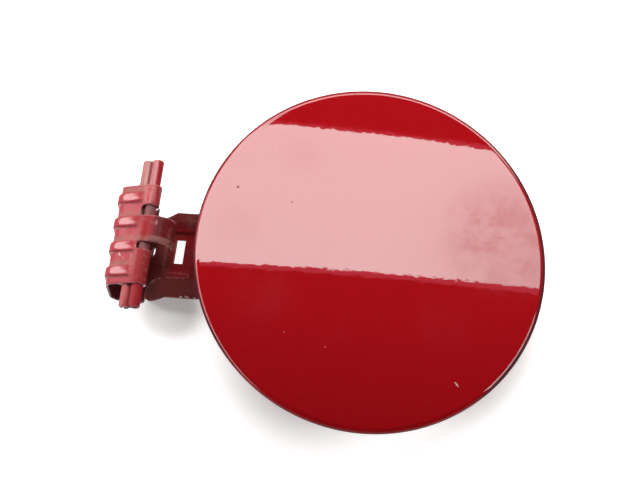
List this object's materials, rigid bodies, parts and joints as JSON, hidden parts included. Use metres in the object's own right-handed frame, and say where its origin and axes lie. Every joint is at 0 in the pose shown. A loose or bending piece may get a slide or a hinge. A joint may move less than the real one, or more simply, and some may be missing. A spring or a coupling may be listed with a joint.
{
  "type": "fuel filler door",
  "caption": "Round hemmed fuel filler door on a stamped gooseneck hinge arm that swings on a slotted pivot pin.",
  "frame": {"origin": "on the pivot pin's axis, midway along the pin", "axes": "+X from the pivot towards the lid, +Y along the pivot pin, +Z out of the lid's painted face"},
  "size_m": [0.1864, 0.15, 0.058],
  "materials": {
    "lid_paint": "glossy red body paint",
    "back_paint": "thin red body paint, satin",
    "arm_paint": "glossy red body paint, chipped and dusty",
    "pin_paint": "red body paint worn thin on spring steel"
  },
  "bodies": {
    "pivot": {"pivot_pin": "pin_paint"},
    "door": {"lid_outer_panel": "lid_paint", "lid_inner_panel": "back_paint", "hinge_arm": "arm_paint", "spring_pin": "pin_paint", "latch_striker": "back_paint"}
  },
  "joints": [
    {"name": "door_swing", "type": "hinge", "parent": "pivot", "child": "door", "pos_m": [0, 0, 0], "axis": [0, -1, 0], "range_deg": [0, 90]}
  ]
}
